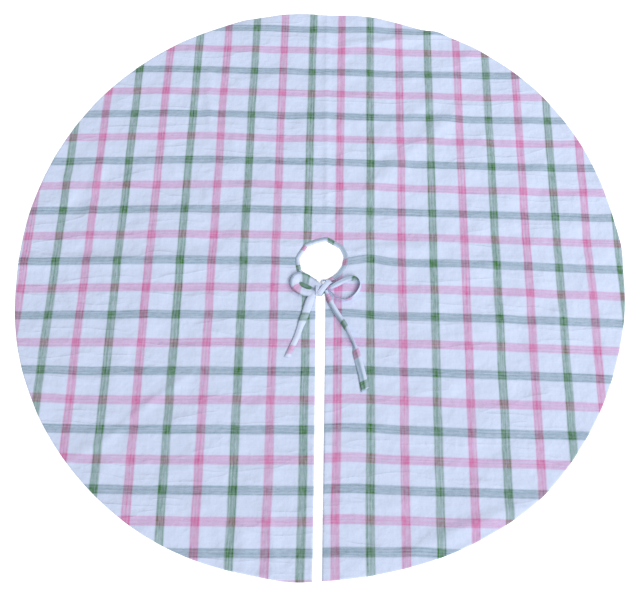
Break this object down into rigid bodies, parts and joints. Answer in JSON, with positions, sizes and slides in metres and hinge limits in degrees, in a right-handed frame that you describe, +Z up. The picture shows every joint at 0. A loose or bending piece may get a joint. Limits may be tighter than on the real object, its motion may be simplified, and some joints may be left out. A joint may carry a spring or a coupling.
{
  "type": "tree skirt",
  "caption": "Round lined cloth tree skirt in a woven plaid, with a bound neck hole, a front slit closed by a tied bow, and two front flaps that fold open.",
  "frame": {"origin": "on the floor, at the middle of the skirt's disc and of its round neck", "axes": "+Z up, -Y along the slit towards the front, +X to the right of someone facing the slit from the front and looking along +Y"},
  "size_m": [1.2192, 1.219, 0.015],
  "materials": {
    "plaid_cotton": "plain-weave yarn-dyed cotton, white with green and pink stripes both ways",
    "white_lining": "plain white cotton",
    "plaid_tape": "strips of the face cloth folded into tape",
    "sewing_thread": "white polyester thread"
  },
  "bodies": {
    "back": {"face_back": "plaid_cotton", "lining_back": "white_lining", "edge_seam_back": "sewing_thread", "neck_binding_back": "plaid_tape", "neck_stitches_back": "sewing_thread"},
    "front_left": {"face_front_left": "plaid_cotton", "lining_front_left": "white_lining", "edge_seam_front_left": "sewing_thread", "neck_binding_front_left": "plaid_tape", "neck_stitches_front_left": "sewing_thread", "left_loop": "plaid_tape"},
    "front_right": {"face_front_right": "plaid_cotton", "lining_front_right": "white_lining", "edge_seam_front_right": "sewing_thread", "neck_binding_front_right": "plaid_tape", "neck_stitches_front_right": "sewing_thread", "right_loop": "plaid_tape", "bow_knot": "plaid_tape"},
    "left_tail": {"left_tail": "plaid_tape"},
    "right_tail": {"right_tail": "plaid_tape"}
  },
  "joints": [
    {"name": "left_flap_fold", "type": "hinge", "parent": "back", "child": "front_left", "pos_m": [-0.3, 0, 0.01], "axis": [-1, 0, 0], "range_deg": [0, 180]},
    {"name": "right_flap_fold", "type": "hinge", "parent": "back", "child": "front_right", "pos_m": [0.3, 0, 0.01], "axis": [-1, 0, 0], "range_deg": [0, 180]},
    {"name": "left_tail_swing", "type": "hinge", "parent": "front_left", "child": "left_tail", "pos_m": [-0.0185, -0.07, 0.003], "axis": [0, 0, 1], "range_deg": [-28, 10]},
    {"name": "right_tail_swing", "type": "hinge", "parent": "front_right", "child": "right_tail", "pos_m": [0.0115, -0.061, 0.003], "axis": [0, 0, 1], "range_deg": [-12, 12]}
  ]
}
